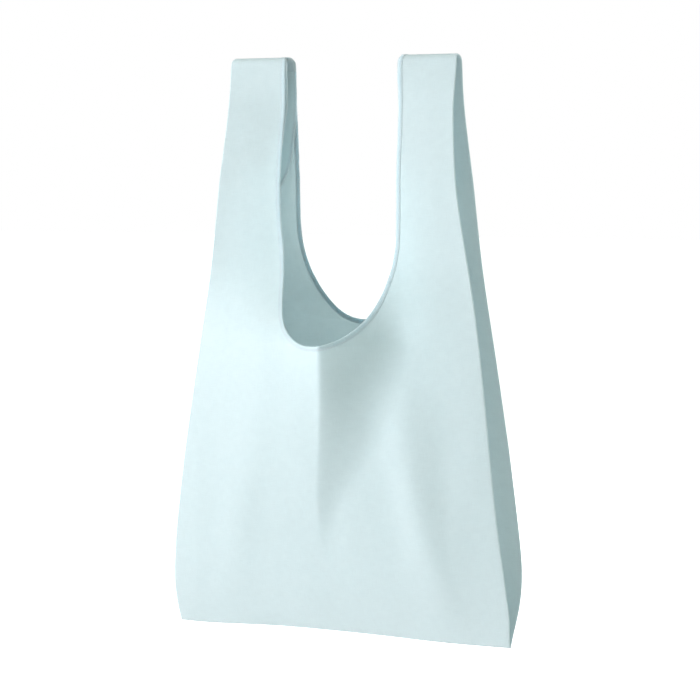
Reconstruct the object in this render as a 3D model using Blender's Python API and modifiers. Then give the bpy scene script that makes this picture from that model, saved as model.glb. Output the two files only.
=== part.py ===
"""Cotton shopping bag of the vest shape, empty and hanging by its two handles.

Two cuts of cloth make it. Each is a front or a back, with half of both handles and half of both
folded sides. They are sewn to each other at the handle crowns, along the inner crease of each
folded side and across the bottom. All sizes are in metres, and +Z is up. The origin lies where a
straight hanger along X touches the underside of both handle crowns. The front faces -Y.
"""
import math

import bmesh
import bpy

# Sizes of the bag as it is cut and sewn
BAG_HEIGHT = 0.600
BAG_WIDTH = 0.391
GUSSET_WIDTH = 0.120
HANDLE_WIDTH = 0.064
SIDE_SLIT_DEPTH = 0.135
LAYER_OVERHANG = 0.0008
CLOTH_THICKNESS = 0.0006
SEWN_GAP = 0.0003
FOLD_OPENING = 0.0006

# Where the bag hangs
HANGER_RADIUS = 0.006
HANDLE_SPACING = 0.130

# The mouth is cut deep between the handles, with a round lower edge
MOUTH_WIDTH = 0.134
MOUTH_CURVE_HEIGHT = 0.150
MOUTH_ROUNDNESS = 0.833
FRONT_MOUTH_DEPTH = 0.294
BACK_MOUTH_DEPTH = 0.274
BACK_MOUTH_INSET = 0.004

# How the cloth hangs: the sides part, and the slack under the mouth stands out as one ridge
SIDE_OPENING = 0.055
FRONT_BELLY = 0.062
BACK_BELLY = 0.038
BELLY_FADE_HEIGHT = 0.105
FRONT_HANDLE_TWIST = 0.008
BACK_HANDLE_TWIST = 0.003
TWIST_LENGTH = 0.050

# The ridge: beside the mouth it falls from the rim to both side folds. Below, a long rise from the
# left leads up to its crest, with a steep fall right of it that narrows on the way down. The crest
# lies right of the middle at the mouth and drifts left below.
RIDGE_HALF_WIDTH = 0.042
RIDGE_STEEP_WIDTH = 0.074
RIDGE_STEEP_START = 0.20
RIDGE_STEEP_RUN = 0.60
RIDGE_LEAST_STEEP = 0.15
RIDGE_FLARE = 0.70
RIDGE_TAIL = 0.08
LEFT_RAMP_POWER = 0.96
RIGHT_RAMP_POWER = 1.7
CREST_AT_MOUTH = 0.011
CREST_DRIFT = 0.021
CREST_RUN = 0.52

# A soft fold runs down the panel between the ridge and each side fold
LEFT_SOFT_FOLD = 0.002
RIGHT_SOFT_FOLD = 0.005
SOFT_FOLD_HALF_WIDTH = 0.016
SOFT_FOLD_PLACE = 0.42
SOFT_FOLD_DRIFT = 0.25

# Pairs of a share of the way down and a share of the full amount, chosen by eye along the sides
SIDE_SPREAD = ((0.0, 0.0), (0.09, 0.0), (0.25, 0.14), (0.50, 0.485), (0.75, 0.78), (0.93, 0.975),
               (1.0, 0.955))
SIDE_PARTING = ((0.04, 0.40), (0.083, 0.56), (0.20, 0.85), (0.26, 0.83), (0.36, 0.70), (0.44, 0.70),
                (0.57, 0.84), (0.70, 1.0), (0.83, 1.0), (0.90, 0.80), (0.95, 0.43))
LAYER_HANG = ((0.0, 1.0), (0.25, 0.85), (0.50, 0.80), (0.80, 0.58), (1.0, 0.0))

# How the ridge fades down to the seam, how the panels bulge under it, and how the seam draws in
BELLY_FALL = 1.5
BELLY_END = 0.30
PANEL_BULGE = 0.009
BULGE_LOWERING = 0.8
PINCH_START = 0.5
PINCH_RUN = 0.4
PINCH_HEIGHT = 0.028

# Mesh columns and rows
PANEL_COLUMNS = 11
FOLD_COLUMNS = 3
GUSSET_COLUMNS = 3
BODY_ROWS = 14
MOUTH_ROWS = 8
HANDLE_ROWS = 4
CROWN_ROWS = 3
COLUMN_CROWDING = 1.4
ROW_CROWDING = 1.2
ROW_FAN = 0.06
MIDDLE_JOIN = 0.00001

CLOTH_COLOUR = (0.72, 0.85, 0.88, 1.0)
CLOTH_ROUGHNESS = 0.9

# Sizes that follow from the ones above
LAYER_STEP = CLOTH_THICKNESS + FOLD_OPENING
FOLD_RADIUS = LAYER_STEP / 2
INNER_CROWN_RADIUS = HANGER_RADIUS + CLOTH_THICKNESS / 2
OUTER_CROWN_RADIUS = INNER_CROWN_RADIUS + LAYER_STEP
CROWN_AXIS = -HANGER_RADIUS
CROWN_TOP = CROWN_AXIS + OUTER_CROWN_RADIUS + CLOTH_THICKNESS / 2
BOTTOM = CROWN_TOP - BAG_HEIGHT
DROP = CROWN_AXIS - BOTTOM
HANDLE_INNER_EDGE = HANDLE_SPACING / 2
HANDLE_OUTER_EDGE = HANDLE_INNER_EDGE + HANDLE_WIDTH
SEAM_DEPTH = (CLOTH_THICKNESS + SEWN_GAP) / 2
STACKED_DEPTH = SEAM_DEPTH + LAYER_STEP


def smooth_step(value):
    """0 below 0, 1 above 1, and an even rise between."""
    value = min(max(value, 0.0), 1.0)
    return value * value * (3.0 - 2.0 * value)


def along(points, share):
    """A soft curve through hand-chosen points, read at a share of the way."""
    last = len(points) - 1
    share = min(max(share, points[0][0]), points[last][0])
    i = 0
    while i < last - 1 and share > points[i + 1][0]:
        i += 1
    slopes = []
    for k in (i, i + 1):
        before = points[max(k - 1, 0)]
        after = points[min(k + 1, last)]
        slopes.append((after[1] - before[1]) / (after[0] - before[0]))
    start, end = points[i], points[i + 1]
    span = end[0] - start[0]
    t = (share - start[0]) / span
    rise = t * t * (3.0 - 2.0 * t)
    bend = slopes[0] * t * (1.0 - t) ** 2 - slopes[1] * t * t * (1.0 - t)
    return start[1] + (end[1] - start[1]) * rise + span * bend


def share_down(z):
    """0 at the crown's axis, 1 at the bottom seam."""
    return min(max((CROWN_AXIS - z) / DROP, 0.0), 1.0)


def side_half_width(z):
    """Distance of the side fold from the middle plane of the bag."""
    spread = along(SIDE_SPREAD, share_down(z))
    return HANDLE_OUTER_EDGE + (BAG_WIDTH / 2 - HANDLE_OUTER_EDGE) * spread


def side_depth(z):
    """Distance of the side fold from the plane between front and back."""
    half = SIDE_OPENING / 2
    points = [(0.0, OUTER_CROWN_RADIUS)]
    points += [(down, share * half) for down, share in SIDE_PARTING]
    points += [(1.0, STACKED_DEPTH)]
    return max(along(points, share_down(z)), STACKED_DEPTH)


class Cut:
    """One of the two cuts of cloth: how deep its mouth is, and how far it stands out."""

    def __init__(self, mouth_depth, mouth_inset, belly, handle_twist):
        self.mouth_bottom = -mouth_depth
        self.mouth_half_width = MOUTH_WIDTH / 2 - mouth_inset
        self.handle_edge = HANDLE_INNER_EDGE - mouth_inset
        self.belly = belly
        self.handle_twist = handle_twist
        self.mouth_curve_top = self.mouth_bottom + MOUTH_CURVE_HEIGHT

    def mouth_edge(self, z):
        """Distance of the mouth's edge from the middle plane, 0 under the mouth."""
        above = (z - self.mouth_bottom) / MOUTH_CURVE_HEIGHT
        if above <= 0.0:
            return 0.0
        if above >= 1.0:
            up = (z - self.mouth_curve_top) / (CROWN_AXIS - self.mouth_curve_top)
            return self.mouth_half_width + (self.handle_edge - self.mouth_half_width) * smooth_step(up)
        turn = math.acos((1.0 - above) ** (1.0 / MOUTH_ROUNDNESS))
        return self.mouth_half_width * math.sin(turn) ** MOUTH_ROUNDNESS

    def ridge(self, across, z, under, over, width):
        """The ridge's form at a signed distance across, as a share of its height."""
        edge = self.mouth_edge(z)
        rim = math.exp(-0.5 * (edge / RIDGE_HALF_WIDTH) ** 2)
        outward = min(max((abs(across) - edge) / (width - edge), 0.0), 1.0)
        beside = rim * (1.0 - outward) ** (RIGHT_RAMP_POWER if across > 0.0 else LEFT_RAMP_POWER)
        crest = CREST_AT_MOUTH - CREST_DRIFT * min((1.0 - under) / CREST_RUN, 1.0)
        if across > crest:
            narrowing = max(smooth_step((under - RIDGE_STEEP_START) / RIDGE_STEEP_RUN), RIDGE_LEAST_STEEP)
            turn = math.pi * min((across - crest) / (RIDGE_STEEP_WIDTH * narrowing), 1.0) ** RIDGE_FLARE
            tail = max((width - across) / (width - crest), 0.0)
            below = RIDGE_TAIL * tail + (1.0 - RIDGE_TAIL) * (0.5 + 0.5 * math.cos(turn))
        else:
            below = max((width + across) / (width + crest), 0.0) ** LEFT_RAMP_POWER
        return below + (beside - below) * over

    def panel_depth(self, across, z):
        """Distance of the panel from the plane between front and back, at a signed distance across."""
        x = abs(across)
        width = side_half_width(z)
        fold = side_depth(z)
        under = min(max((z - BOTTOM) / (self.mouth_bottom - BOTTOM), 0.0), 1.0)
        over = smooth_step((z - self.mouth_bottom) / BELLY_FADE_HEIGHT)
        height = self.belly * max((under - BELLY_END) / (1.0 - BELLY_END), 0.0) ** BELLY_FALL
        depth = fold + height * (1.0 - over) * self.ridge(across, z, under, over, width)
        depth += PANEL_BULGE * (1.0 - (x / width) ** 2) * math.sin(math.pi * under ** BULGE_LOWERING)
        crest = width * (SOFT_FOLD_PLACE + SOFT_FOLD_DRIFT * (1.0 - under))
        soft = (RIGHT_SOFT_FOLD if across > 0.0 else LEFT_SOFT_FOLD) * math.sin(math.pi * under) * (1.0 - over)
        depth += soft * math.exp(-0.5 * ((x - crest) / SOFT_FOLD_HALF_WIDTH) ** 2)
        edge = self.mouth_edge(z)
        twist = self.handle_twist * over * smooth_step((CROWN_AXIS - z) / TWIST_LENGTH)
        depth -= twist * (width - x) / max(width - edge, HANDLE_WIDTH / 2)
        return depth - self.bottom_pinch(x, z, width)

    def bottom_pinch(self, x, z, width):
        """Between the folded sides, only two layers meet in the bottom seam."""
        crease = width - GUSSET_WIDTH / 2
        middle = 1.0 - smooth_step((x - PINCH_START * crease) / (PINCH_RUN * crease))
        near_seam = 1.0 - smooth_step((z - BOTTOM) / PINCH_HEIGHT)
        return LAYER_STEP * middle * near_seam


def inner_layer_edge(cut, z):
    """The folded side's inner end: its crease, or above the side slit the handle's cut inner edge."""
    width = side_half_width(z)
    beside = side_depth(z) - LAYER_STEP
    down = min(max((CROWN_AXIS - z) / SIDE_SLIT_DEPTH, 0.0), 1.0)
    handle_reach = HANDLE_OUTER_EDGE - cut.handle_edge + LAYER_OVERHANG
    reach = handle_reach + (GUSSET_WIDTH / 2 - handle_reach) * down ** 2
    behind_rim = cut.panel_depth(cut.mouth_edge(z), z) - LAYER_STEP
    depth = SEAM_DEPTH + (behind_rim - SEAM_DEPTH) * along(LAYER_HANG, down)
    run = math.sqrt(max(reach ** 2 - (beside - depth) ** 2, (reach / 2) ** 2))
    return width - FOLD_RADIUS - run, depth


def rows_of(cut):
    """Each row's height at the side fold, its inner end, and its angle round the crown."""
    rows = []
    fan = cut.mouth_bottom - ROW_FAN * (cut.mouth_bottom - BOTTOM)
    for k in range(BODY_ROWS + 1):
        up = (k / BODY_ROWS) ** ROW_CROWDING
        rows.append((BOTTOM + (fan - BOTTOM) * up, 0.0, BOTTOM + (cut.mouth_bottom - BOTTOM) * up, 0.0))
    for k in range(1, MOUTH_ROWS + 1):
        turn = math.radians(90.0) * k / MOUTH_ROWS
        edge = cut.mouth_half_width * math.sin(turn) ** MOUTH_ROUNDNESS
        rise = MOUTH_CURVE_HEIGHT * (1.0 - max(math.cos(turn), 0.0) ** MOUTH_ROUNDNESS)
        outer = fan + (cut.mouth_curve_top - fan) * k / MOUTH_ROWS
        rows.append((outer, edge, cut.mouth_bottom + rise, 0.0))
    for k in range(1, HANDLE_ROWS + 1):
        z = cut.mouth_curve_top + (CROWN_AXIS - cut.mouth_curve_top) * k / HANDLE_ROWS
        rows.append((z, cut.mouth_edge(z), z, 0.0))
    last_turn = math.acos(SEWN_GAP / 2 / INNER_CROWN_RADIUS)
    for k in range(1, CROWN_ROWS + 1):
        rows.append((CROWN_AXIS, cut.handle_edge, CROWN_AXIS, last_turn * k / CROWN_ROWS))
    return rows


def row_points(cut, row, side):
    """The points of one row of a half, side 1 right and -1 left, from the mouth to the crease."""
    outer_z, edge, inner_z, turn = row
    width = side_half_width(outer_z)
    fold = side_depth(outer_z)
    panel_end = width - FOLD_RADIUS
    points = []
    for k in range(PANEL_COLUMNS + 1):
        share = (k / PANEL_COLUMNS) ** COLUMN_CROWDING
        x = edge + (panel_end - edge) * share
        z = inner_z + (outer_z - inner_z) * share
        points.append((x, cut.panel_depth(side * x, z), z))
    layer_x, layer_depth = inner_layer_edge(cut, outer_z)
    lean = math.atan2(fold - LAYER_STEP - layer_depth, panel_end - layer_x)
    for k in range(1, FOLD_COLUMNS + 1):
        angle = (math.pi - lean) * k / FOLD_COLUMNS
        x = panel_end + FOLD_RADIUS * math.sin(angle)
        points.append((x, fold - FOLD_RADIUS + FOLD_RADIUS * math.cos(angle), outer_z))
    start_x, start_depth, _ = points[-1]
    for k in range(1, GUSSET_COLUMNS + 1):
        share = k / GUSSET_COLUMNS
        x = start_x + (layer_x - start_x) * share
        points.append((x, start_depth + (layer_depth - start_depth) * share, outer_z))
    if turn > 0.0:
        points = [(x, depth * math.cos(turn), CROWN_AXIS + depth * math.sin(turn)) for x, depth, _ in points]
    return [(side * x, depth, z) for x, depth, z in points]


def cloth_material(name):
    material = bpy.data.materials.new(name)
    material.use_nodes = True
    shader = material.node_tree.nodes["Principled BSDF"]
    shader.inputs["Base Color"].default_value = CLOTH_COLOUR
    shader.inputs["Roughness"].default_value = CLOTH_ROUGHNESS
    shader.inputs["Metallic"].default_value = 0.0
    return material


def make_panel(name, cut, facing, collection, parent):
    """One cut of cloth: each half is a mapped grid, joined under the mouth, and thickened to both sides."""
    columns = PANEL_COLUMNS + FOLD_COLUMNS + GUSSET_COLUMNS
    mesh = bpy.data.meshes.new(name)
    work = bmesh.new()
    for side in (-1.0, 1.0):
        table = [row_points(cut, row, side) for row in rows_of(cut)]
        rows = len(table) - 1
        grid = bmesh.ops.create_grid(work, x_segments=columns, y_segments=rows, size=0.5)
        for vertex in grid["verts"]:
            column = round((vertex.co.x + 0.5) * columns)
            row = round((vertex.co.y + 0.5) * rows)
            x, depth, z = table[row][column]
            vertex.co = (x, facing * depth, z)
    bmesh.ops.remove_doubles(work, verts=work.verts, dist=MIDDLE_JOIN)
    bmesh.ops.recalc_face_normals(work, faces=work.faces)
    work.to_mesh(mesh)
    work.free()
    panel = bpy.data.objects.new(name, mesh)
    collection.objects.link(panel)
    panel.parent = parent
    shell = panel.modifiers.new("cloth_thickness", "SOLIDIFY")
    shell.thickness = CLOTH_THICKNESS
    shell.offset = 0.0
    shell.use_even_offset = True
    mesh.materials.append(cloth_material(name + "_cotton"))
    mesh.shade_smooth()
    mesh.set_sharp_from_angle(angle=math.radians(50))
    return panel


def main():
    for old in list(bpy.data.objects):
        bpy.data.objects.remove(old, do_unlink=True)
    collection = bpy.data.collections.new("cotton_shopping_bag")
    bpy.context.scene.collection.children.link(collection)
    hang_line = bpy.data.objects.new("hang_line", None)
    collection.objects.link(hang_line)
    front = Cut(FRONT_MOUTH_DEPTH, 0.0, FRONT_BELLY, FRONT_HANDLE_TWIST)
    back = Cut(BACK_MOUTH_DEPTH, BACK_MOUTH_INSET, BACK_BELLY, BACK_HANDLE_TWIST)
    make_panel("front_panel", front, -1.0, collection, hang_line)
    make_panel("back_panel", back, 1.0, collection, hang_line)


main()
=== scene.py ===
"""Looks of the cotton shopping bag: both cuts as fine cloth, with hems, seams, stitches and weave.

All sizes are in metres, in the frame's own axes: the front faces -Y, the bag hangs down from z = 0.
The form of the cloth follows the same sizes as the frame's two panels, in finer steps. A height h on
the cloth is its z below the crown's axis, and above it goes on over the crown along the cloth.
"""
import math

import bmesh
import bpy
import numpy as np
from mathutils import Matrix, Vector


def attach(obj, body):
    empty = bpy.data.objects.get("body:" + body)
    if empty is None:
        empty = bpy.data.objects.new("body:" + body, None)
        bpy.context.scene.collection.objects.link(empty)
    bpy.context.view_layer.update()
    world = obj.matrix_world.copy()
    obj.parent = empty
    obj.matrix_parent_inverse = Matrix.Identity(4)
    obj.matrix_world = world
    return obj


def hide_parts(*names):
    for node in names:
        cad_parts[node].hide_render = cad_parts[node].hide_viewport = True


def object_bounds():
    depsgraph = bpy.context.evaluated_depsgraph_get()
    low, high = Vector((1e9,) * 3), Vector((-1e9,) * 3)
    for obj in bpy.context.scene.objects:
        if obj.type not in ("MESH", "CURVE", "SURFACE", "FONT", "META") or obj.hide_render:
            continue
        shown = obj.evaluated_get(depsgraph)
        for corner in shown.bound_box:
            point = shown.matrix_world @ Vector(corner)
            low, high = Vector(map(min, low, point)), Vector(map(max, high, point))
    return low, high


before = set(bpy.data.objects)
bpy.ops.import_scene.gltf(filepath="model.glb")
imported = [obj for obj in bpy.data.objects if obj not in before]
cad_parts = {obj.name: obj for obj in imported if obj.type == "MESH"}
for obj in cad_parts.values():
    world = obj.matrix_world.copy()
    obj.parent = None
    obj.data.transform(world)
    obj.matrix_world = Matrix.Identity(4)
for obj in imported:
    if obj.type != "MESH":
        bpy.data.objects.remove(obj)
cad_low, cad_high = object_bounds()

# The bag as it is cut and sewn
BAG_WIDTH = 0.391
GUSSET_WIDTH = 0.120
HANDLE_WIDTH = 0.064
SIDE_SLIT_DEPTH = 0.135
LAYER_OVERHANG = 0.0008
CLOTH_THICKNESS = 0.0006
SEWN_GAP = 0.0003
FOLD_OPENING = 0.0006
HANGER_RADIUS = 0.006
HANDLE_SPACING = 0.130

# The mouth between the handles
MOUTH_WIDTH = 0.134
MOUTH_CURVE_HEIGHT = 0.150
MOUTH_ROUNDNESS = 0.833

# How the cloth hangs
SIDE_OPENING = 0.055
BELLY_FADE_HEIGHT = 0.105
RIDGE_HALF_WIDTH = 0.042
RIDGE_STEEP_WIDTH = 0.074
RIDGE_STEEP_START = 0.20
RIDGE_STEEP_RUN = 0.60
RIDGE_LEAST_STEEP = 0.15
RIDGE_FLARE = 0.70
RIDGE_TAIL = 0.08
LEFT_RAMP_POWER = 0.96
RIGHT_RAMP_POWER = 1.7
CREST_AT_MOUTH = 0.011
CREST_DRIFT = 0.021
CREST_RUN = 0.52
LEFT_SOFT_FOLD = 0.002
RIGHT_SOFT_FOLD = 0.005
SOFT_FOLD_HALF_WIDTH = 0.016
SOFT_FOLD_PLACE = 0.42
SOFT_FOLD_DRIFT = 0.25
TWIST_LENGTH = 0.050
BELLY_FALL = 1.5
BELLY_END = 0.30
PANEL_BULGE = 0.009
BULGE_LOWERING = 0.8
PINCH_START = 0.5
PINCH_RUN = 0.4
PINCH_HEIGHT = 0.028

# Pairs of a share of the way down and a share of the full amount
SIDE_SPREAD = ((0.0, 0.0), (0.09, 0.0), (0.25, 0.14), (0.50, 0.485), (0.75, 0.78), (0.93, 0.975),
               (1.0, 0.955))
SIDE_PARTING = ((0.04, 0.40), (0.083, 0.56), (0.20, 0.85), (0.26, 0.83), (0.36, 0.70), (0.44, 0.70),
                (0.57, 0.84), (0.70, 1.0), (0.83, 1.0), (0.90, 0.80), (0.95, 0.43))
LAYER_HANG = ((0.0, 1.0), (0.25, 0.85), (0.50, 0.80), (0.80, 0.58), (1.0, 0.0))

# Small unevenness of the cloth, which fades out near folds, bottom and crowns
LONG_WAVE_HEIGHT = 0.0012
LONG_WAVE_CELL = 0.034
LONG_WAVE_SQUEEZE = 0.35
SMALL_WAVE_HEIGHT = 0.0003
SMALL_WAVE_CELL = 0.016
SMALL_WAVE_LEAN = 0.3
WAVE_FADE = 0.030
WAVE_CROWN_FADE = 0.040
NOISE_TABLE = 64

# Fine mesh
PANEL_COLUMNS = 62
FOLD_COLUMNS = 6
GUSSET_COLUMNS = 20
BODY_ROWS = 104
MOUTH_ROWS = 56
HANDLE_ROWS = 56
CROWN_ROWS = 16
COLUMN_CROWDING = 1.12
ROW_CROWDING = 1.1
ROW_FAN = 0.06
MOUTH_LINE_STEPS = 240
HANDLE_LINE_STEPS = 160
CROWN_LINE_STEPS = 40
LAYER_LINE_STEPS = 120
LINE_TURN_REACH = 0.0002
NORMAL_REACH = 0.00005
SAME_PLACE = 1e-7

# Seams
BOTTOM_ROLL = 0.0026
ROLL_ROWS = 4
CROWN_SEAM_DIP = 0.0008
CROWN_SEAM_TURN = math.radians(10)
CROWN_ALLOWANCE = 0.0145
CROWN_ALLOWANCE_LIFT = 0.0006
CROWN_ALLOWANCE_REACH = 0.9
CROWN_ALLOWANCE_ROWS = 24
CROWN_ALLOWANCE_COLUMNS = 20
CUT_UNEVENNESS = 0.0004
CUT_UNEVENNESS_CELL = 0.009

# The handles draw in at the crown seam, and the bottom sways to the left and sags most at its left end
CROWN_DRAW_LENGTH = 0.014
CROWN_DRAW_INNER = 0.0055
CROWN_DRAW_OUTER = 0.0035
BOTTOM_SWAY = 0.0045
BOTTOM_SWAY_START = 0.86
BOTTOM_SAG_START = 0.70
BOTTOM_SAG = 0.0012
LEFT_SAG = 0.0043
RIGHT_SAG = 0.0016
SAG_HALF_WIDTH = 0.052
LEFT_SAG_PLACE = -0.176
RIGHT_SAG_PLACE = 0.128

# Hems and stitches
HEM_WIDTH = 0.0046
HEM_LIFT = 0.00085
LAYER_HEM_WIDTH = 0.0032
LAYER_HEM_LIFT = 0.00055
HEM_STEP = 0.0008
HEM_POINT_SPACING = 0.0006
HEM_WANDER = 0.0003
HEM_WANDER_CELL = 0.011
PUCKER_PITCH = 0.0036
PUCKER_LEAST = 0.6
PUCKER_CHANGE_CELL = 0.017
PUCKER_SHIFT_CELL = 0.03
PUCKER_BULGE = 0.00035
PUCKER_LOW = 0.8
PUCKER_RISE = 0.35
STITCH_PITCH = 0.0028
STITCH_LENGTH = 0.0021
THREAD_RADIUS = 0.00022
STITCH_INSET = 0.0036
STITCH_LIFT = 0.00062
STITCH_ARCH = 0.0004
STITCH_END_SHARE = 0.12
STITCH_RINGS = 6
STITCH_SIDES = 6

# Sizes that follow from the ones above
LAYER_STEP = CLOTH_THICKNESS + FOLD_OPENING
FOLD_RADIUS = LAYER_STEP / 2
INNER_CROWN_RADIUS = HANGER_RADIUS + CLOTH_THICKNESS / 2
OUTER_CROWN_RADIUS = INNER_CROWN_RADIUS + LAYER_STEP
CROWN_AXIS = -HANGER_RADIUS
BOTTOM = cad_low.z
DROP = CROWN_AXIS - BOTTOM
HANDLE_INNER_EDGE = HANDLE_SPACING / 2
HANDLE_OUTER_EDGE = HANDLE_INNER_EDGE + HANDLE_WIDTH
SEAM_DEPTH = (CLOTH_THICKNESS + SEWN_GAP) / 2
STACKED_DEPTH = SEAM_DEPTH + LAYER_STEP
LAST_TURN = math.acos(SEWN_GAP / 2 / INNER_CROWN_RADIUS)
CROWN_END = CROWN_AXIS + OUTER_CROWN_RADIUS * LAST_TURN


def smooth_step(value):
    """0 below 0, 1 above 1, and an even rise between."""
    value = np.clip(value, 0.0, 1.0)
    return value * value * (3.0 - 2.0 * value)


def along(points, share):
    """A soft curve through given points, read at shares of the way."""
    places, values = np.array(points).T
    share = np.clip(share, places[0], places[-1])
    before = np.maximum(np.arange(len(places)) - 1, 0)
    after = np.minimum(np.arange(len(places)) + 1, len(places) - 1)
    slopes = (values[after] - values[before]) / (places[after] - places[before])
    i = np.clip(np.searchsorted(places, share, side="right") - 1, 0, len(places) - 2)
    span = places[i + 1] - places[i]
    t = (share - places[i]) / span
    rise = t * t * (3.0 - 2.0 * t)
    bend = slopes[i] * t * (1.0 - t) ** 2 - slopes[i + 1] * t * t * (1.0 - t)
    return values[i] + (values[i + 1] - values[i]) * rise + span * bend


def share_down(z):
    """How far down the bag a height is: 0 at the crowns' axis, 1 at the bottom."""
    return np.clip((CROWN_AXIS - z) / DROP, 0.0, 1.0)


def side_half_width(z):
    """Distance of the side fold from the middle plane of the bag."""
    return HANDLE_OUTER_EDGE + (BAG_WIDTH / 2 - HANDLE_OUTER_EDGE) * along(SIDE_SPREAD, share_down(z))


def side_depth(z):
    """Distance of the side fold from the plane between front and back."""
    half = SIDE_OPENING / 2
    points = [(0.0, OUTER_CROWN_RADIUS)]
    points += [(down, share * half) for down, share in SIDE_PARTING]
    points += [(1.0, STACKED_DEPTH)]
    return np.maximum(along(points, share_down(z)), STACKED_DEPTH)


def soft_noise(u, v, cell, seed):
    """Smooth random heights from -1 to 1, with about one bump in each cell."""
    table = np.random.default_rng(seed).uniform(-1.0, 1.0, (NOISE_TABLE, NOISE_TABLE))
    a = np.asarray(u) / cell
    b = np.asarray(v) / cell
    i = np.floor(a).astype(int)
    k = np.floor(b).astype(int)
    s = a - i
    t = b - k
    s = s ** 3 * (s * (6.0 * s - 15.0) + 10.0)
    t = t ** 3 * (t * (6.0 * t - 15.0) + 10.0)
    i0, i1 = i % NOISE_TABLE, (i + 1) % NOISE_TABLE
    k0, k1 = k % NOISE_TABLE, (k + 1) % NOISE_TABLE
    low = table[i0, k0] * (1.0 - s) + table[i1, k0] * s
    high = table[i0, k1] * (1.0 - s) + table[i1, k1] * s
    return low * (1.0 - t) + high * t


class Cut:
    """One of the two cuts of cloth."""

    def __init__(self, name, facing, mouth_depth, mouth_inset, belly, handle_twist, seed):
        self.name = name
        self.facing = facing
        self.mouth_bottom = -mouth_depth
        self.mouth_half_width = MOUTH_WIDTH / 2 - mouth_inset
        self.handle_edge = HANDLE_INNER_EDGE - mouth_inset
        self.belly = belly
        self.handle_twist = handle_twist
        self.seed = seed
        self.mouth_curve_top = self.mouth_bottom + MOUTH_CURVE_HEIGHT

    def mouth_edge(self, z):
        """Distance of the mouth's edge from the middle plane, 0 under the mouth."""
        above = np.clip((z - self.mouth_bottom) / MOUTH_CURVE_HEIGHT, 0.0, 1.0)
        turn = np.arccos((1.0 - above) ** (1.0 / MOUTH_ROUNDNESS))
        curve = self.mouth_half_width * np.sin(turn) ** MOUTH_ROUNDNESS
        up = (z - self.mouth_curve_top) / (CROWN_AXIS - self.mouth_curve_top)
        return curve + (self.handle_edge - self.mouth_half_width) * smooth_step(up)

    def ridge(self, across, z, under, over, width):
        """The ridge's form across the bag. Beside the mouth it falls from the rim to both side folds.
        Below, a long rise from the left leads up to the crest, with a steep fall right of it."""
        edge = self.mouth_edge(z)
        rim = np.exp(-0.5 * (edge / RIDGE_HALF_WIDTH) ** 2)
        outward = np.clip((np.abs(across) - edge) / (width - edge), 0.0, 1.0)
        beside = rim * (1.0 - outward) ** np.where(across > 0.0, RIGHT_RAMP_POWER, LEFT_RAMP_POWER)
        crest = CREST_AT_MOUTH - CREST_DRIFT * np.minimum((1.0 - under) / CREST_RUN, 1.0)
        narrowing = np.maximum(smooth_step((under - RIDGE_STEEP_START) / RIDGE_STEEP_RUN), RIDGE_LEAST_STEEP)
        steep = np.clip((across - crest) / (RIDGE_STEEP_WIDTH * narrowing), 0.0, 1.0)
        turn = math.pi * steep ** RIDGE_FLARE
        tail = np.clip((width - across) / (width - crest), 0.0, 1.0)
        fall = RIDGE_TAIL * tail + (1.0 - RIDGE_TAIL) * (0.5 + 0.5 * np.cos(turn))
        rise = np.clip((width + across) / (width + crest), 0.0, 1.0) ** LEFT_RAMP_POWER
        below = np.where(across > crest, fall, rise)
        return below + (beside - below) * over

    def panel_depth(self, across, z):
        """Distance of the panel from the plane between front and back, at a signed distance across."""
        x = np.abs(across)
        width = side_half_width(z)
        fold = side_depth(z)
        under = np.clip((z - BOTTOM) / (self.mouth_bottom - BOTTOM), 0.0, 1.0)
        over = smooth_step((z - self.mouth_bottom) / BELLY_FADE_HEIGHT)
        height = self.belly * np.maximum((under - BELLY_END) / (1.0 - BELLY_END), 0.0) ** BELLY_FALL
        depth = fold + height * (1.0 - over) * self.ridge(across, z, under, over, width)
        depth = depth + PANEL_BULGE * (1.0 - (x / width) ** 2) * np.sin(math.pi * under ** BULGE_LOWERING)
        crest = width * (SOFT_FOLD_PLACE + SOFT_FOLD_DRIFT * (1.0 - under))
        soft = np.where(across > 0.0, RIGHT_SOFT_FOLD, LEFT_SOFT_FOLD)
        soft = soft * np.sin(math.pi * under) * (1.0 - over)
        depth = depth + soft * np.exp(-0.5 * ((x - crest) / SOFT_FOLD_HALF_WIDTH) ** 2)
        edge = self.mouth_edge(z)
        twist = self.handle_twist * over * smooth_step((CROWN_AXIS - z) / TWIST_LENGTH)
        depth = depth - twist * (width - x) / np.maximum(width - edge, HANDLE_WIDTH / 2)
        crease = width - GUSSET_WIDTH / 2
        middle = 1.0 - smooth_step((x - PINCH_START * crease) / (PINCH_RUN * crease))
        near_seam = 1.0 - smooth_step((z - BOTTOM) / PINCH_HEIGHT)
        return depth - LAYER_STEP * middle * near_seam

    def wrinkles(self, across, z):
        """Small unevenness of the hanging cloth, standing out and never in. across is signed."""
        width = side_half_width(z)
        clear = smooth_step((width - np.abs(across)) / WAVE_FADE)
        clear = clear * smooth_step((z - BOTTOM) / WAVE_FADE)
        clear = clear * smooth_step((CROWN_AXIS - z) / WAVE_CROWN_FADE)
        long_wave = 0.5 + 0.5 * soft_noise(across, LONG_WAVE_SQUEEZE * z, LONG_WAVE_CELL, self.seed)
        small_wave = 0.5 + 0.5 * soft_noise(across + SMALL_WAVE_LEAN * z, z - SMALL_WAVE_LEAN * across,
                                            SMALL_WAVE_CELL, self.seed + 1)
        return clear * (LONG_WAVE_HEIGHT * long_wave + SMALL_WAVE_HEIGHT * small_wave)

    def rolled(self, depth, z):
        """The cloth turns in to the bottom seam in a small round."""
        up = np.clip((z - BOTTOM) / BOTTOM_ROLL, 0.0, 1.0)
        return SEAM_DEPTH + (depth - SEAM_DEPTH) * np.sqrt(1.0 - (1.0 - up) ** 2)

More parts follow.
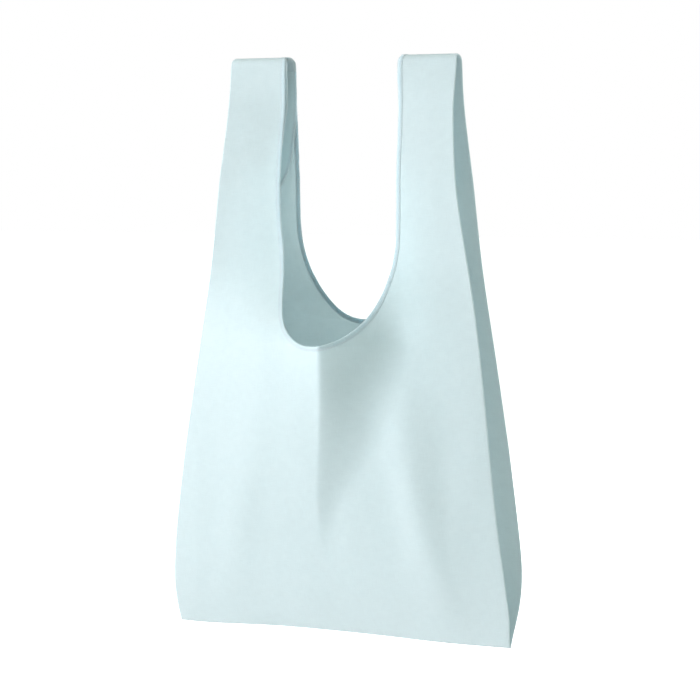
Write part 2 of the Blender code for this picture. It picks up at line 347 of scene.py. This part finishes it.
    def hung(self, across, depth, h):
        """Points of the bag from a signed distance across, a depth and a height on the cloth."""
        z = np.minimum(h, CROWN_AXIS)
        turn = np.maximum(h - CROWN_AXIS, 0.0) / OUTER_CROWN_RADIUS
        dip = CROWN_SEAM_DIP * smooth_step((turn - LAST_TURN) / CROWN_SEAM_TURN + 1.0) ** 2
        depth = self.rolled(depth, z) - dip
        near_seam = np.clip((h - CROWN_END) / CROWN_DRAW_LENGTH + 1.0, 0.0, 1.0)
        outward = (np.abs(across) - HANDLE_INNER_EDGE) / HANDLE_WIDTH
        draw = (1.0 - np.sqrt(1.0 - near_seam ** 2)) * (
            CROWN_DRAW_INNER * (1.0 - outward) - CROWN_DRAW_OUTER * outward)
        down = share_down(z)
        sway = BOTTOM_SWAY * smooth_step((down - BOTTOM_SWAY_START) / (1.0 - BOTTOM_SWAY_START))
        sag = (BOTTOM_SAG + LEFT_SAG * np.exp(-0.5 * ((across - LEFT_SAG_PLACE) / SAG_HALF_WIDTH) ** 2)
               + RIGHT_SAG * np.exp(-0.5 * ((across - RIGHT_SAG_PLACE) / SAG_HALF_WIDTH) ** 2))
        sag = sag * smooth_step((down - BOTTOM_SAG_START) / (1.0 - BOTTOM_SAG_START))
        return np.stack(np.broadcast_arrays(
            across + np.sign(across) * draw - sway, self.facing * depth * np.cos(turn),
            z + depth * np.sin(turn) - sag), axis=-1)

    def panel_point(self, across, h):
        """A point on the panel's middle surface."""
        z = np.minimum(h, CROWN_AXIS)
        depth = self.panel_depth(across, z) + self.wrinkles(across, z)
        return self.hung(across, depth, h)

    def layer_line(self, h):
        """The folded side's inner layer at a height: its free or sewn end, and its start at the fold."""
        z = np.minimum(h, CROWN_AXIS)
        width = side_half_width(z)
        fold = side_depth(z)
        beside = fold - LAYER_STEP
        down = np.clip((CROWN_AXIS - z) / SIDE_SLIT_DEPTH, 0.0, 1.0)
        handle_reach = HANDLE_OUTER_EDGE - self.handle_edge + LAYER_OVERHANG
        reach = handle_reach + (GUSSET_WIDTH / 2 - handle_reach) * down ** 2
        behind_rim = self.panel_depth(self.mouth_edge(z), z) - LAYER_STEP
        end_depth = SEAM_DEPTH + (behind_rim - SEAM_DEPTH) * along(LAYER_HANG, down)
        run = np.sqrt(np.maximum(reach ** 2 - (beside - end_depth) ** 2, (reach / 2) ** 2))
        end_x = width - FOLD_RADIUS - run
        lean = np.arctan2(beside - end_depth, run)
        start_x = width - FOLD_RADIUS + FOLD_RADIUS * np.sin(math.pi - lean)
        start_depth = fold - FOLD_RADIUS + FOLD_RADIUS * np.cos(math.pi - lean)
        return end_x, end_depth, start_x, start_depth, lean

    def layer_point(self, side, inset, h, lift=0.0):
        """A point on the inner layer, a distance in from its end towards the fold, or lifted off inside."""
        end_x, end_depth, start_x, start_depth, _ = self.layer_line(h)
        share = inset / np.hypot(start_x - end_x, start_depth - end_depth)
        across = side * (end_x + (start_x - end_x) * share)
        return self.hung(across, end_depth + (start_depth - end_depth) * share - lift, h)


FRONT = Cut("front", -1.0, 0.294, 0.0, 0.062, 0.008, 11)
BACK = Cut("back", 1.0, 0.274, 0.004, 0.038, 0.003, 23)


def mouth_turn(cut, turn):
    """The mouth's curve: its distance across and its height, at turns from 0 at the bottom to pi / 2."""
    across = cut.mouth_half_width * np.sin(turn) ** MOUTH_ROUNDNESS
    up = 1.0 - np.clip(np.cos(turn), 0.0, 1.0) ** MOUTH_ROUNDNESS
    return across, cut.mouth_bottom + MOUTH_CURVE_HEIGHT * up


def rows_of(cut):
    """Each row's height at the side fold, its height at its inner end, and that end's distance across."""
    fan = cut.mouth_bottom - ROW_FAN * (cut.mouth_bottom - BOTTOM)
    roll = BOTTOM_ROLL / (fan - BOTTOM)
    ups = np.concatenate([roll * (np.arange(ROLL_ROWS) / ROLL_ROWS) ** 2,
                          roll + (1.0 - roll) * (np.arange(BODY_ROWS + 1) / BODY_ROWS) ** ROW_CROWDING])
    outer = [BOTTOM + (fan - BOTTOM) * ups]
    inner = [BOTTOM + (cut.mouth_bottom - BOTTOM) * ups]
    edge = [np.zeros(len(ups))]
    step = np.arange(1, MOUTH_ROWS + 1) / MOUTH_ROWS
    curve_across, curve_height = mouth_turn(cut, math.pi / 2 * step)
    outer.append(fan + (cut.mouth_curve_top - fan) * step)
    inner.append(curve_height)
    edge.append(curve_across)
    handle_step = np.arange(1, HANDLE_ROWS + 1) / HANDLE_ROWS
    up = cut.mouth_curve_top + (CROWN_AXIS - cut.mouth_curve_top) * handle_step
    over = CROWN_AXIS + (CROWN_END - CROWN_AXIS) * np.arange(1, CROWN_ROWS + 1) / CROWN_ROWS
    for h, x in ((up, cut.mouth_edge(up)), (over, np.full(CROWN_ROWS, cut.handle_edge))):
        outer.append(h)
        inner.append(h)
        edge.append(x)
    return [np.concatenate(values)[:, None] for values in (outer, inner, edge)]


def half_grid(cut, side):
    """Points and flat cloth coordinates of one half of a cut, from the mouth to the inner layer's end."""
    outer, inner, edge = rows_of(cut)
    z = np.minimum(outer, CROWN_AXIS)
    panel_end = side_half_width(z) - FOLD_RADIUS
    share = (np.arange(PANEL_COLUMNS + 1) / PANEL_COLUMNS)[None, :] ** COLUMN_CROWDING
    x = edge + (panel_end - edge) * share
    h = inner + (outer - inner) * share
    panel = cut.panel_point(side * x, h)
    panel_flat = np.stack([side * x, h], axis=-1)

    _, _, _, _, lean = cut.layer_line(outer)
    angle = (math.pi - lean) * (np.arange(1, FOLD_COLUMNS + 1) / FOLD_COLUMNS)[None, :]
    depth = side_depth(z) - FOLD_RADIUS + FOLD_RADIUS * np.cos(angle)
    fold = cut.hung(side * (panel_end + FOLD_RADIUS * np.sin(angle)), depth, outer)
    fold_flat = np.stack(np.broadcast_arrays(side * (panel_end + FOLD_RADIUS * angle), outer), axis=-1)

    end_x, end_depth, start_x, start_depth, _ = cut.layer_line(outer)
    length = np.hypot(start_x - end_x, start_depth - end_depth)
    inset = length * (1.0 - np.arange(1, GUSSET_COLUMNS + 1) / GUSSET_COLUMNS)[None, :]
    layer = cut.layer_point(side, inset, outer)
    flat_across = side * (panel_end + FOLD_RADIUS * (math.pi - lean) + length - inset)
    layer_flat = np.stack(np.broadcast_arrays(flat_across, outer), axis=-1)
    return (np.concatenate([panel, fold, layer], axis=1),
            np.concatenate([panel_flat, fold_flat, layer_flat], axis=1))


def mesh_of(name, grids, ring=False):
    """One mesh from grids of points with flat coordinates. A ring closes each row and caps the ends."""
    mesh = bpy.data.meshes.new(name)
    points = []
    flats = []
    faces = []
    first = 0
    for grid, flat in grids:
        rows, columns, _ = grid.shape
        index = first + np.arange(rows * columns).reshape(rows, columns)
        if ring:
            index = np.concatenate([index, index[:, :1]], axis=1)
        quads = np.stack([index[:-1, :-1], index[:-1, 1:], index[1:, 1:], index[1:, :-1]], axis=-1)
        faces += quads.reshape(-1, 4).tolist()
        if ring:
            faces += [index[0, :-1].tolist(), index[-1, :-1][::-1].tolist()]
        points.append(grid.reshape(-1, 3))
        flats.append(flat.reshape(-1, 2))
        first += rows * columns
    mesh.from_pydata(np.concatenate(points).tolist(), [], faces)
    flat_at = np.concatenate(flats)
    corner = np.zeros(len(mesh.loops), dtype=np.int32)
    mesh.loops.foreach_get("vertex_index", corner)
    layer = mesh.uv_layers.new(name="flat_cloth")
    layer.uv.foreach_set("vector", flat_at[corner].astype(np.float32).ravel())
    work = bmesh.new()
    work.from_mesh(mesh)
    bmesh.ops.remove_doubles(work, verts=work.verts, dist=SAME_PLACE)
    bmesh.ops.recalc_face_normals(work, faces=work.faces)
    work.to_mesh(mesh)
    work.free()
    mesh.shade_smooth()
    return mesh


def add_piece(name, mesh, material):
    """An object in the scene that rides the bag."""
    piece = bpy.data.objects.new(name, mesh)
    bpy.context.scene.collection.objects.link(piece)
    mesh.materials.append(material)
    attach(piece, "root")
    return piece


class Line:
    """A line on the cloth, from its places (u, h), with even steps along it."""

    def __init__(self, at, u, h):
        points = at(u, h)
        run = np.concatenate([[0.0], np.cumsum(np.linalg.norm(np.diff(points, axis=0), axis=1))])
        self.at = at
        self.length = run[-1]
        self.run, self.u, self.h = run, u, h
        self.steps = np.linspace(0.0, self.length, max(int(self.length / HEM_STEP), 2))

    def place(self, s):
        """Places (u, h) and the direction into the cloth, at distances s along the line."""
        u0, h0 = (np.interp(s - LINE_TURN_REACH, self.run, v) for v in (self.u, self.h))
        u1, h1 = (np.interp(s + LINE_TURN_REACH, self.run, v) for v in (self.u, self.h))
        size = np.hypot(u1 - u0, h1 - h0)
        return (u0 + u1) / 2, (h0 + h1) / 2, (h1 - h0) / size, -(u1 - u0) / size

    def point(self, s, inset, lift):
        """Points beside the line: inset into the cloth, and lifted off its middle surface."""
        u, h, into_u, into_h = self.place(s)
        u = u + inset * into_u
        h = h + inset * into_h
        e = NORMAL_REACH
        normal = np.cross(self.at(u + e, h) - self.at(u - e, h), self.at(u, h + e) - self.at(u, h - e))
        normal /= np.linalg.norm(normal, axis=-1, keepdims=True)
        return self.at(u, h) + np.asarray(lift)[..., None] * normal


# Half of the hem's outline: distance into the cloth and height over it, in shares of width and lift
HEM_OUTLINE = ((1.0, 0.30), (0.97, 0.75), (0.88, 0.86), (0.80, 0.62), (0.72, 0.84), (0.5, 1.0),
               (0.25, 0.98), (0.08, 0.78), (-0.03, 0.40))


def hem(name, lines, material, seed, width=HEM_WIDTH, lift=HEM_LIFT):
    """A narrow folded hem round a cloth's edge, puckered by its stitches."""
    outline = np.array(HEM_OUTLINE + tuple((d, -n) for d, n in reversed(HEM_OUTLINE)))
    grids = []
    for line in lines:
        s = line.steps[:, None]
        uneven = PUCKER_LEAST + (1.0 - PUCKER_LEAST) * soft_noise(s, 0.0, PUCKER_CHANGE_CELL, seed)
        shift = soft_noise(s, 0.5, PUCKER_SHIFT_CELL, seed + 1)
        pucker = np.abs(np.sin(math.pi * s / PUCKER_PITCH + shift)) * uneven
        wander = HEM_WANDER * soft_noise(s, 0.25, HEM_WANDER_CELL, seed + 2)
        to_edge = 1.0 - outline[None, :, 0]
        inset = outline[None, :, 0] * width - PUCKER_BULGE * pucker * to_edge
        rise = outline[None, :, 1] * lift * (PUCKER_LOW + PUCKER_RISE * pucker) + wander * to_edge
        points = line.point(np.broadcast_to(s, inset.shape), inset, rise)
        around = np.arange(len(outline))[None, :] * HEM_POINT_SPACING
        flat = np.stack(np.broadcast_arrays(around, s), axis=-1)
        grids.append((points, flat))
    return add_piece(name, mesh_of(name, grids, ring=True), material)


def stitches(name, lines, material):
    """A row of short threads along each line, on both faces of the cloth."""
    angles = np.arange(STITCH_SIDES) * math.tau / STITCH_SIDES
    along_stitch = np.linspace(-0.5, 0.5, STITCH_RINGS)
    towards_end = (2.0 * along_stitch) ** 4
    radius = THREAD_RADIUS * np.sqrt(np.clip(1.0 - towards_end, STITCH_END_SHARE, 1.0))[:, None]
    arch = (STITCH_LIFT - STITCH_ARCH * towards_end)[:, None]
    grids = []
    for line in lines:
        count = int(line.length / STITCH_PITCH)
        centres = (np.arange(count) + 0.5) * line.length / count
        for facing in (-1.0, 1.0):
            for centre in centres:
                s = centre + along_stitch * STITCH_LENGTH
                ring_in = STITCH_INSET + radius * np.cos(angles)[None, :]
                ring_up = facing * arch + radius * np.sin(angles)[None, :]
                points = line.point(np.broadcast_to(s[:, None], ring_in.shape), ring_in, ring_up)
                flat = np.stack(np.broadcast_arrays(angles[None, :] * THREAD_RADIUS, s[:, None]), axis=-1)
                grids.append((points, flat))
    return add_piece(name, mesh_of(name, grids, ring=True), material)


def mouth_line(cut):
    """The mouth's edge, from the left crown down round the mouth and up to the right crown."""
    x, h = mouth_turn(cut, np.linspace(0.0, math.pi / 2, MOUTH_LINE_STEPS))
    up = np.linspace(cut.mouth_curve_top, CROWN_AXIS, HANDLE_LINE_STEPS)[1:]
    over = np.linspace(CROWN_AXIS, CROWN_END, CROWN_LINE_STEPS)[1:]
    x = np.concatenate([x, cut.mouth_edge(up), np.full(len(over), cut.handle_edge)])
    h = np.concatenate([h, up, over])
    return Line(cut.panel_point, np.concatenate([-x[:0:-1], x]), np.concatenate([h[:0:-1], h]))


def layer_lines(cut):
    """The free edge of the handle's inner layer on each side, from the slit's end up to the crown."""
    slit_end = CROWN_AXIS - SIDE_SLIT_DEPTH
    h = np.concatenate([np.linspace(slit_end, CROWN_AXIS, LAYER_LINE_STEPS),
                        np.linspace(CROWN_AXIS, CROWN_END, CROWN_LINE_STEPS)[1:]])
    lines = []
    for side in (-1.0, 1.0):
        def at(inset, height, side=side):
            return cut.layer_point(side, inset, height)
        lines.append(Line(at, np.zeros(len(h)), h))
    return lines


def crown_allowances(name, cut, material):
    """The crown seam's turned-in edges, lying on the handles' inner layers."""
    cut_edge = CROWN_END - CROWN_ALLOWANCE - OUTER_CROWN_RADIUS / 2
    h = np.linspace(cut_edge, CROWN_END, CROWN_ALLOWANCE_ROWS)[:, None]
    inset = np.linspace(0.0, CROWN_ALLOWANCE_REACH * HANDLE_WIDTH, CROWN_ALLOWANCE_COLUMNS)[None, :]
    grids = []
    for side in (-1.0, 1.0):
        uneven = CUT_UNEVENNESS * soft_noise(side * inset, 0.0, CUT_UNEVENNESS_CELL, cut.seed + 13)
        points = cut.layer_point(side, inset, h + uneven, CROWN_ALLOWANCE_LIFT)
        flat = np.stack(np.broadcast_arrays(side * inset, h), axis=-1)
        grids.append((points, flat))
    piece = add_piece(name, mesh_of(name, grids), material)
    shell = piece.modifiers.new("cloth_thickness", "SOLIDIFY")
    shell.thickness = CLOTH_THICKNESS
    shell.offset = 0.0
    return piece


# Materials
CLOTH_COLOUR = (0.750, 0.89, 0.922)
# The hems and crown seam allowances are the same cotton as the panels; their darker colour is painted shade
HEM_PAINTED_SHADE_COLOUR = (0.71, 0.815, 0.85)
THREAD_COLOUR = (0.80, 0.90, 0.93)
THREAD_PITCH = 0.00052
SLUBS_ACROSS = 1900.0
SLUBS_ALONG = 90.0
SLUB_SHARE = 0.09
CLOUD_SCALE = 120.0
CLOUD_SHARE = 0.06
WEAVE_TO_SLUB = 0.35
WEAVE_BUMP = 0.35
WEAVE_DEPTH = 0.0002
LIGHT_SPREAD = 0.0013
FUZZ = 0.12
TWISTS = 1400.0
TWIST_BUMP = 0.4
TWIST_DEPTH = 0.0001


def multiply(tree, value, factor):
    """The output of a node that multiplies a value by a factor."""
    return node(tree, "ShaderNodeMath", {0: value, 1: factor}, operation="MULTIPLY").outputs[0]


def multiply_add(tree, value, factor, addend):
    """The output of a node that multiplies a value by a factor and adds an addend."""
    inputs = {0: value, 1: factor, 2: addend}
    return node(tree, "ShaderNodeMath", inputs, operation="MULTIPLY_ADD").outputs[0]


def node(tree, kind, inputs=(), **settings):
    """A new shader node with its settings, and values or links for its inputs."""
    made = tree.nodes.new(kind)
    for key, value in settings.items():
        setattr(made, key, value)
    for key, value in dict(inputs).items():
        if isinstance(value, bpy.types.NodeSocket):
            tree.links.new(value, made.inputs[key])
        else:
            made.inputs[key].default_value = value
    return made


def cotton(name, colour):
    """Plain woven cotton: two sets of threads over and under each other, with slubs and soft fuzz."""
    material = bpy.data.materials.new(name)
    material.use_nodes = True
    tree = material.node_tree
    shader = tree.nodes["Principled BSDF"]
    flat = node(tree, "ShaderNodeUVMap", uv_map="flat_cloth")
    parts = node(tree, "ShaderNodeSeparateXYZ", {"Vector": flat.outputs["UV"]})
    waves = []
    for axis in ("X", "Y"):
        angle = multiply(tree, parts.outputs[axis], math.pi / THREAD_PITCH)
        waves.append(node(tree, "ShaderNodeMath", {0: angle}, operation="SINE").outputs[0])
    over = multiply(tree, waves[0], waves[1])

    slubs = []
    for scale in ((SLUBS_ACROSS, SLUBS_ALONG, 1.0), (SLUBS_ALONG, SLUBS_ACROSS, 1.0)):
        inputs = {0: flat.outputs["UV"], 1: scale}
        stretched = node(tree, "ShaderNodeVectorMath", inputs, operation="MULTIPLY").outputs[0]
        inputs = {"Vector": stretched, "Scale": 1.0, "Detail": 2.0}
        slubs.append(node(tree, "ShaderNodeTexNoise", inputs).outputs[0])
    slub = node(tree, "ShaderNodeMath", {0: slubs[0], 1: slubs[1]}, operation="ADD").outputs[0]
    inputs = {"Vector": flat.outputs["UV"], "Scale": CLOUD_SCALE, "Detail": 3.0}
    cloud = node(tree, "ShaderNodeTexNoise", inputs).outputs[0]

    slub_share = multiply_add(tree, slub, SLUB_SHARE, 1.0 - SLUB_SHARE)
    cloud_share = multiply_add(tree, cloud, CLOUD_SHARE, 1.0 - CLOUD_SHARE / 2)
    share = multiply(tree, slub_share, cloud_share)
    base = node(tree, "ShaderNodeVectorMath", {0: colour, 1: share}, operation="MULTIPLY")
    tree.links.new(base.outputs[0], shader.inputs["Base Color"])

    height = multiply_add(tree, over, WEAVE_TO_SLUB, slub)
    bump = node(tree, "ShaderNodeBump", {"Height": height, "Strength": WEAVE_BUMP, "Distance": WEAVE_DEPTH})
    tree.links.new(bump.outputs["Normal"], shader.inputs["Normal"])
    shader.inputs["Roughness"].default_value = 0.92
    shader.inputs["Specular IOR Level"].default_value = 0.25
    shader.inputs["Subsurface Weight"].default_value = 1.0
    shader.inputs["Subsurface Radius"].default_value = (1.0, 1.0, 1.0)
    shader.inputs["Subsurface Scale"].default_value = LIGHT_SPREAD
    shader.inputs["Sheen Weight"].default_value = FUZZ
    shader.inputs["Sheen Roughness"].default_value = 0.5
    return material


def thread(name, colour):
    """Sewing thread with its twist."""
    material = bpy.data.materials.new(name)
    material.use_nodes = True
    tree = material.node_tree
    shader = tree.nodes["Principled BSDF"]
    flat = node(tree, "ShaderNodeUVMap", uv_map="flat_cloth")
    twist = node(tree, "ShaderNodeTexWave", {"Vector": flat.outputs["UV"], "Scale": TWISTS},
                 bands_direction="DIAGONAL").outputs["Color"]
    bump = node(tree, "ShaderNodeBump", {"Height": twist, "Strength": TWIST_BUMP, "Distance": TWIST_DEPTH})
    tree.links.new(bump.outputs["Normal"], shader.inputs["Normal"])
    shader.inputs["Base Color"].default_value = (*colour, 1.0)
    shader.inputs["Roughness"].default_value = 0.7
    return material


def make_bag():
    """Both cuts with their hems and stitches."""
    sewing_thread = thread("sewing_thread", THREAD_COLOUR)
    for cut in (FRONT, BACK):
        cloth = cotton(cut.name + "_cotton_weave", CLOTH_COLOUR)
        # A darker copy of the cotton for hems and crown allowances: painted shade
        painted_shade_hem_cloth = cotton(cut.name + "_hem_weave_painted_shade", HEM_PAINTED_SHADE_COLOUR)
        mesh = mesh_of(cut.name + "_cloth", [half_grid(cut, side) for side in (-1.0, 1.0)])
        panel = add_piece(cut.name + "_cloth", mesh, cloth)
        shell = panel.modifiers.new("cloth_thickness", "SOLIDIFY")
        shell.thickness = CLOTH_THICKNESS
        shell.offset = 0.0
        shell.use_even_offset = True
        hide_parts(cut.name + "_panel")
        mouth = [mouth_line(cut)]
        layers = layer_lines(cut)
        extras = [
            hem(cut.name + "_mouth_hem", mouth, painted_shade_hem_cloth, cut.seed + 5),
            stitches(cut.name + "_mouth_stitches", mouth, sewing_thread),
            hem(cut.name + "_layer_hems", layers, painted_shade_hem_cloth, cut.seed + 9,
                LAYER_HEM_WIDTH, LAYER_HEM_LIFT),
            crown_allowances(cut.name + "_crown_allowances", cut, painted_shade_hem_cloth),
        ]


# Floor, lights and camera
FLOOR_DROP = 0.5
FLOOR_HALF_SIZE = 30.0
FLOOR_COLOUR = (0.8, 0.8, 0.8, 1.0)
FLOOR_GLOW = 0.88
WHITE = (1.0, 1.0, 1.0, 1.0)
KEY_TURN = math.radians(41.0)
KEY_RISE = math.radians(4.0)
KEY_POWER = 217.0
KEY_COLOUR = (0.91, 0.94, 1.0)
BACK_TURN = math.radians(180.0)
BACK_RISE = math.radians(12.0)
BACK_POWER = 150.0
SIDE_TURN = math.radians(-120.0)
SIDE_RISE = math.radians(8.0)
SIDE_POWER = 66.0
LAMP_DISTANCE = 5.2
LAMP_SIZE = 2.8
LAMP_COLOUR = (0.97, 0.96, 1.0)
SKY_STRENGTH = 0.48
SKY_COLOUR = (0.87, 1.0, 0.95, 1.0)
CAMERA_TURN = math.radians(26.0)
CAMERA_RISE = math.radians(4.4)
CAMERA_DISTANCE = 2.4
CAMERA_TARGET = Vector((0.0065, 0.0, -0.3025))
FOCAL_PIXELS = 2304.0
IMAGE_PIXELS = 700.0
SENSOR_WIDTH = 36.0


def seen_directly(tree):
    """1 for rays that see a surface directly, in gloss or through glass, and 0 for all other rays."""
    path = node(tree, "ShaderNodeLightPath")
    seen = path.outputs["Is Camera Ray"]
    for ray in ("Is Glossy Ray", "Is Transmission Ray"):
        seen = node(tree, "ShaderNodeMath", {0: seen, 1: path.outputs[ray]}, operation="MAXIMUM").outputs[0]
    return seen


def make_world():
    """Plain white where it is seen, and a soft sky for the light that falls on the bag."""
    world = bpy.data.worlds.new("plain_white")
    bpy.context.scene.world = world
    world.use_nodes = True
    tree = world.node_tree
    tree.nodes.clear()
    sky = node(tree, "ShaderNodeBackground", {"Color": SKY_COLOUR, "Strength": SKY_STRENGTH})
    white = node(tree, "ShaderNodeBackground", {"Color": WHITE, "Strength": 1.0})
    mixed = node(tree, "ShaderNodeMixShader",
                 {0: seen_directly(tree), 1: sky.outputs[0], 2: white.outputs[0]})
    node(tree, "ShaderNodeOutputWorld", {"Surface": mixed.outputs[0]})


def make_floor():
    """A plain pale floor far under the bag, with a glow that makes it white where it is seen and lit."""
    mesh = bpy.data.meshes.new("floor")
    work = bmesh.new()
    bmesh.ops.create_grid(work, x_segments=1, y_segments=1, size=FLOOR_HALF_SIZE)
    work.to_mesh(mesh)
    work.free()
    floor = bpy.data.objects.new("floor", mesh)
    floor.location.z = cad_low.z - FLOOR_DROP
    bpy.context.scene.collection.objects.link(floor)
    material = bpy.data.materials.new("pale_floor")
    material.use_nodes = True
    tree = material.node_tree
    tree.nodes.clear()
    lit = node(tree, "ShaderNodeBsdfDiffuse", {"Color": FLOOR_COLOUR})
    glow = node(tree, "ShaderNodeEmission", {"Color": WHITE, "Strength": FLOOR_GLOW})
    bright = node(tree, "ShaderNodeAddShader", {0: lit.outputs[0], 1: glow.outputs[0]})
    mixed = node(tree, "ShaderNodeMixShader",
                 {0: seen_directly(tree), 1: lit.outputs[0], 2: bright.outputs[0]})
    node(tree, "ShaderNodeOutputMaterial", {"Surface": mixed.outputs[0]})
    mesh.materials.append(material)


def make_lamp(name, turn, rise, power, colour=LAMP_COLOUR):
    """A wide, soft lamp that faces the bag, from a turn to the left of its front and a rise."""
    lamp = bpy.data.lights.new(name, "AREA")
    lamp.shape = "SQUARE"
    lamp.size = LAMP_SIZE
    lamp.energy = power
    lamp.color = colour
    holder = bpy.data.objects.new(name, lamp)
    towards = Vector((-math.sin(turn) * math.cos(rise), -math.cos(turn) * math.cos(rise), math.sin(rise)))
    holder.location = Vector((0.0, 0.0, BOTTOM / 2)) + LAMP_DISTANCE * towards
    holder.rotation_euler = (-towards).to_track_quat("-Z", "Y").to_euler()
    holder.visible_camera = False
    bpy.context.scene.collection.objects.link(holder)


def make_camera():
    """The camera that was fitted to the photo."""
    data = bpy.data.cameras.new("camera")
    data.sensor_width = SENSOR_WIDTH
    data.lens = FOCAL_PIXELS * SENSOR_WIDTH / IMAGE_PIXELS
    camera = bpy.data.objects.new("camera", data)
    back = Vector((math.sin(CAMERA_TURN) * math.cos(CAMERA_RISE),
                   -math.cos(CAMERA_TURN) * math.cos(CAMERA_RISE), math.sin(CAMERA_RISE)))
    camera.location = CAMERA_TARGET + CAMERA_DISTANCE * back
    camera.rotation_euler = (-back).to_track_quat("-Z", "Y").to_euler()
    bpy.context.scene.collection.objects.link(camera)
    bpy.context.scene.camera = camera


make_camera()
make_world()
make_floor()
make_lamp("key", KEY_TURN, KEY_RISE, KEY_POWER, KEY_COLOUR)
make_lamp("back", BACK_TURN, BACK_RISE, BACK_POWER)
make_lamp("side", SIDE_TURN, SIDE_RISE, SIDE_POWER)
make_bag()

bpy.context.scene.view_settings.view_transform = "Standard"
